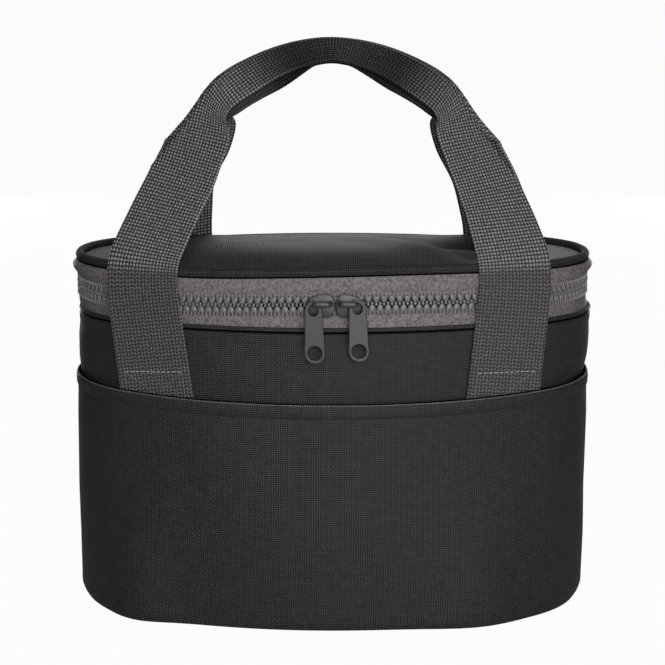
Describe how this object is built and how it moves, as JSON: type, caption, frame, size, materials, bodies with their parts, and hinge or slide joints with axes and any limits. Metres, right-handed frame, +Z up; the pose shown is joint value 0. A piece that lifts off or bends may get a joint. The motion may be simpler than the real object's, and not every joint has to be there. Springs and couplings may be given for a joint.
{
  "type": "insulated lunch bag",
  "caption": "Oval insulated lunch bag with a zipped lid on a fabric hinge, a front slip pocket, head-to-head zip sliders and webbing carry handles.",
  "frame": {"origin": "middle of the flat underside of the base", "axes": "+Z up, +X to the right as seen from the front, the front with the pocket towards -Y"},
  "size_m": [0.2598, 0.1656, 0.285],
  "materials": {
    "shell_cloth": "matte black weave",
    "foam": "closed-cell foam",
    "liner_film": "satin coated film",
    "zip_tape": "grey satin tape",
    "zip_teeth": "moulded grey plastic",
    "webbing": "coarse charcoal webbing",
    "slider_metal": "dark satin"
  },
  "bodies": {
    "bag_body": {"outer_front_panel": "shell_cloth", "outer_back_panel": "shell_cloth", "base_panel": "shell_cloth", "front_pocket": "shell_cloth", "wall_foam": "foam", "base_foam": "foam", "wall_liner": "liner_film", "base_liner": "liner_film", "mouth_binding": "shell_cloth", "lower_zip_tape": "zip_tape", "lower_zip_teeth": "zip_teeth", "hinge_strip_lower": "shell_cloth", "front_left_strap_end": "webbing", "front_right_strap_end": "webbing", "rear_left_strap_end": "webbing", "rear_right_strap_end": "webbing"},
    "lid": {"lid_top_panel": "shell_cloth", "lid_piping": "shell_cloth", "lid_foam": "foam", "lid_liner": "liner_film", "lid_binding": "shell_cloth", "upper_zip_tape": "zip_tape", "upper_zip_teeth": "zip_teeth", "hinge_strip_upper": "shell_cloth"},
    "front_handle": {"front_handle": "webbing"},
    "rear_handle": {"rear_handle": "webbing"},
    "left_slider": {"left_slider": "slider_metal"},
    "right_slider": {"right_slider": "slider_metal"},
    "left_pull_tab": {"left_pull_tab": "slider_metal"},
    "right_pull_tab": {"right_pull_tab": "slider_metal"}
  },
  "joints": [
    {"name": "lid_hinge", "type": "hinge", "parent": "bag_body", "child": "lid", "pos_m": [0, 0.0773, 0.1623], "axis": [-1, 0, 0], "range_deg": [0, 105]},
    {"name": "front_handle_fold", "type": "hinge", "parent": "bag_body", "child": "front_handle", "pos_m": [0, -0.0695, 0.127], "axis": [1, 0, 0], "range_deg": [0, 120.75]},
    {"name": "rear_handle_fold", "type": "hinge", "parent": "bag_body", "child": "rear_handle", "pos_m": [0, 0.0695, 0.127], "axis": [-1, 0, 0], "range_deg": [0, 120.75]},
    {"name": "left_slider_travel", "type": "hinge", "parent": "bag_body", "child": "left_slider", "pos_m": [0, 0.114, 0.1623], "axis": [0, 0, -1], "range_deg": [0, 17.5]},
    {"name": "right_slider_travel", "type": "hinge", "parent": "bag_body", "child": "right_slider", "pos_m": [0, 0.114, 0.1623], "axis": [0, 0, 1], "range_deg": [0, 16.3]},
    {"name": "left_tab_swing", "type": "hinge", "parent": "left_slider", "child": "left_pull_tab", "pos_m": [-0.00796, -0.07716, 0.1623], "axis": [0.0259, 0.9997, 0], "range_deg": [-8, 90]},
    {"name": "right_tab_swing", "type": "hinge", "parent": "right_slider", "child": "right_pull_tab", "pos_m": [0.01191, -0.07695, 0.1623], "axis": [0.0466, -0.9989, 0], "range_deg": [-8, 90]}
  ],
  "couplings": [
    {"joint": "front_handle_fold", "follows": "lid_hinge", "ratio": 1.15},
    {"joint": "rear_handle_fold", "follows": "lid_hinge", "ratio": 1.15}
  ]
}
